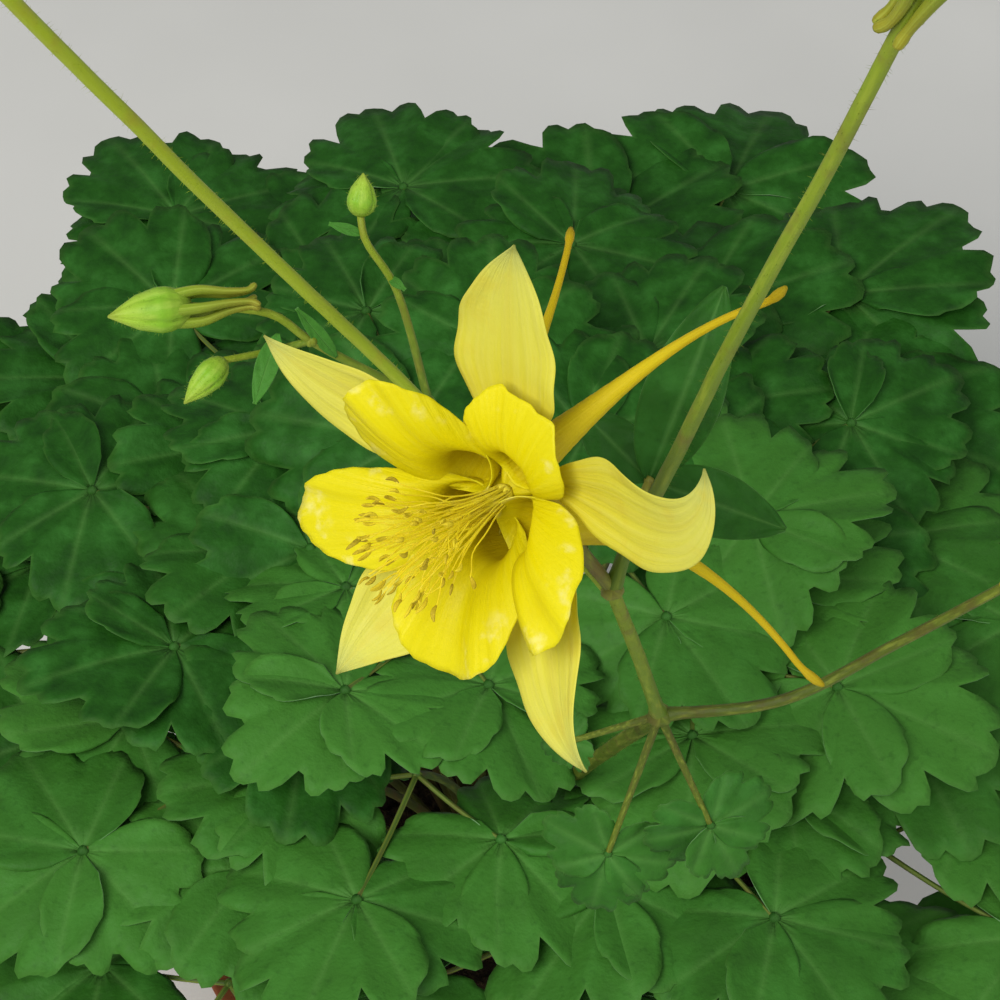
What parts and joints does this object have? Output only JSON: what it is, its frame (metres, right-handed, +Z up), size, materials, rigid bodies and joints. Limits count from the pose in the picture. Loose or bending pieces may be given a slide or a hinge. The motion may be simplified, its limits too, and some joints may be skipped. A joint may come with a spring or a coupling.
{
  "type": "potted columbine plant",
  "caption": "Columbine in a plain clay pot: a long-spurred yellow flower facing outward above branching stems, nodding buds and a mound of lobed leaves.",
  "frame": {"origin": "centre of the pot's foot, on the surface it stands on", "axes": "+Z up through the pot and plant; -Y is the side that the open flower leans towards and faces"},
  "size_m": [0.4381, 0.4203, 0.6907],
  "materials": {
    "clay": "matte",
    "soil": "matte",
    "root": "matte",
    "stem": "satin",
    "leaf": "satin",
    "sepal": "satin",
    "petal": "satin",
    "stamen": "matte",
    "bud": "satin"
  },
  "bodies": {
    "root": {"basal_leaf_1": "leaf", "basal_leaf_10": "leaf", "basal_leaf_11": "leaf", "basal_leaf_12": "leaf", "basal_leaf_13": "leaf", "basal_leaf_14": "leaf", "basal_leaf_15": "leaf", "basal_leaf_16": "leaf", "basal_leaf_17": "leaf", "basal_leaf_18": "leaf", "basal_leaf_19": "leaf", "basal_leaf_2": "leaf", "basal_leaf_20": "leaf", "basal_leaf_21": "leaf", "basal_leaf_22": "leaf", "basal_leaf_23": "leaf", "basal_leaf_24": "leaf", "basal_leaf_25": "leaf", "basal_leaf_26": "leaf", "basal_leaf_27": "leaf", "basal_leaf_28": "leaf", "basal_leaf_29": "leaf", "basal_leaf_3": "leaf", "basal_leaf_4": "leaf", "basal_leaf_5": "leaf", "basal_leaf_6": "leaf", "basal_leaf_7": "leaf", "basal_leaf_8": "leaf", "basal_leaf_9": "leaf", "bud_1": "bud", "bud_2": "bud", "bud_3": "bud", "bud_4": "bud", "bud_5": "bud", "bud_6": "bud", "bud_branch": "stem", "flower_stalk": "stem", "left_branch": "stem", "lower_bract": "leaf", "lower_stem": "stem", "petal_1": "petal", "petal_2": "petal", "petal_3": "petal", "petal_4": "petal", "petal_5": "petal", "pistils": "stamen", "pot": "clay", "right_branch": "stem", "rootstock": "root", "sepal_1": "sepal", "sepal_2": "sepal", "sepal_3": "sepal", "sepal_4": "sepal", "sepal_5": "sepal", "side_branch": "stem", "soil": "soil", "stamens": "stamen", "upper_bract": "leaf", "upper_stem": "stem"}
  },
  "joints": []
}
